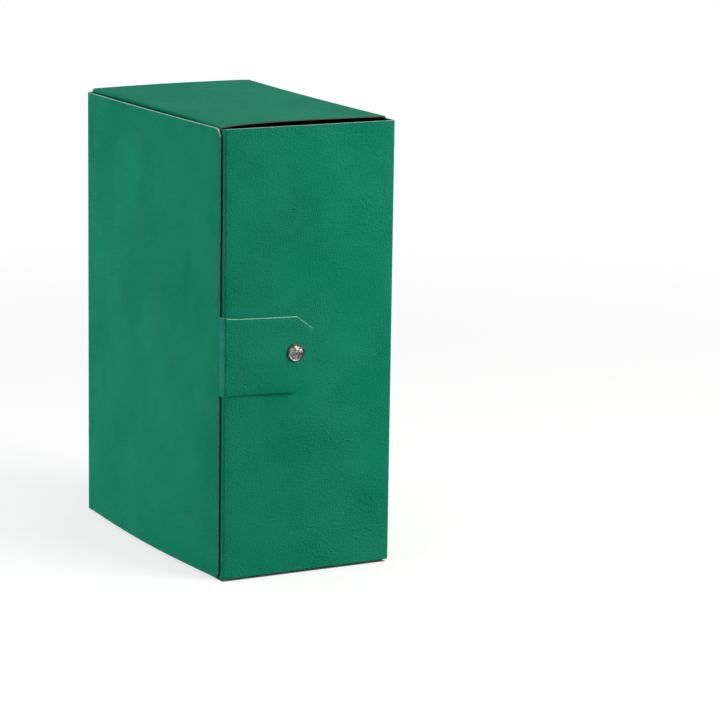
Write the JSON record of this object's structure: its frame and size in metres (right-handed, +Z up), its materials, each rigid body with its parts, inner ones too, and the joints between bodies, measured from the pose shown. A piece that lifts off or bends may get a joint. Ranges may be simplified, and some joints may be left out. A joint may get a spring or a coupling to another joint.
{
  "type": "box file",
  "caption": "Upright box file of folded green card: case with end walls and inner flaps, hinged cover, and a tongue that closes with a press stud on the fore-edge wall.",
  "frame": {"origin": "middle of the underside of the whole box, on the surface it stands on", "axes": "+Z up along the box's height, cover faces -X, base panel +X, fore-edge wall with its tongue -Y, spine +Y"},
  "size_m": [0.147, 0.2564, 0.35],
  "materials": {
    "green_card": "green laminate with a fine leather grain, satin, over pale board that shows at cut edges",
    "nickel": "nickel-plated pressed metal, polished"
  },
  "bodies": {
    "case": {"case": "green_card", "closing_eyelet": "nickel", "closing_stud": "nickel", "lower_eyelet": "nickel", "lower_stud": "nickel", "lower_socket": "nickel", "lower_cap": "nickel", "upper_eyelet": "nickel", "upper_stud": "nickel", "upper_socket": "nickel", "upper_cap": "nickel"},
    "cover": {"cover": "green_card"},
    "tongue": {"tongue": "green_card", "closing_socket": "nickel", "closing_cap": "nickel"}
  },
  "joints": [
    {"name": "cover_fold", "type": "hinge", "parent": "case", "child": "cover", "pos_m": [-0.0735, 0.12825, 0.175], "axis": [0, 0, -1], "range_deg": [0, 180]},
    {"name": "tongue_fold", "type": "hinge", "parent": "cover", "child": "tongue", "pos_m": [-0.07194, -0.12186, 0.175], "axis": [0, 0, -1], "range_deg": [0, 120]}
  ]
}
